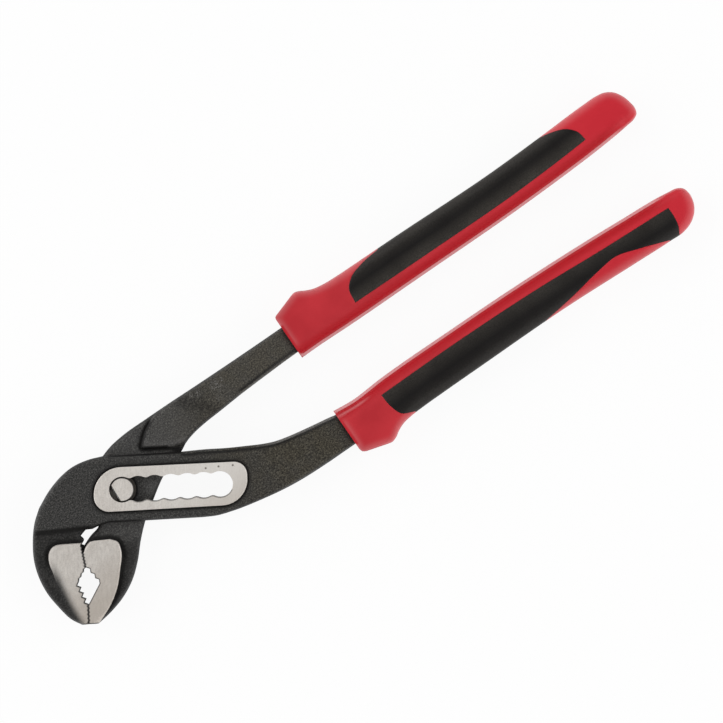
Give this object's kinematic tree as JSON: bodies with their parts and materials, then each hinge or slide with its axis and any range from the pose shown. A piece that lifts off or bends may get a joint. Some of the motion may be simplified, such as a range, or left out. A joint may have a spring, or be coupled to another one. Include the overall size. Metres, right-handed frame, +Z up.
{
  "type": "water pump pliers",
  "caption": "Box-joint water pump pliers: forged toothed jaws, a D-shaped pivot pin that steps along a scalloped slot, and red grips with black soft inlays.",
  "frame": {"origin": "on the pivot axis with the pin in its first notch, in the plane that the underside rests on", "axes": "+X from the pivot along the handles, +Y towards the upper handle, +Z up along the pivot axis"},
  "size_m": [0.2491, 0.0587, 0.012],
  "materials": {
    "forged_steel": "black phosphated forging, fine grain, with ground jaw and slot faces",
    "ground_steel": "ground",
    "spring_steel": "oiled",
    "red_plastic": "satin",
    "soft_black": "soft, fine texture"
  },
  "bodies": {
    "slotted_half": {"slotted_lever": "forged_steel", "lower_grip_shell": "red_plastic", "lower_grip_inlay": "soft_black"},
    "pin_rings": {"pin_ring_rear": "spring_steel", "pin_ring_front": "spring_steel"},
    "inner_half": {"inner_lever": "forged_steel", "pivot_pin": "ground_steel", "upper_grip_shell": "red_plastic", "upper_grip_inlay": "soft_black"}
  },
  "joints": [
    {"name": "slot_slide", "type": "slide", "parent": "slotted_half", "child": "pin_rings", "axis": [0.8554, -0.518, 0], "range_m": [0, 0.03228]},
    {"name": "jaw_hinge", "type": "hinge", "parent": "pin_rings", "child": "inner_half", "pos_m": [0, 0, 0.006], "axis": [0, 0, 1], "range_deg": [0, 57]}
  ]
}
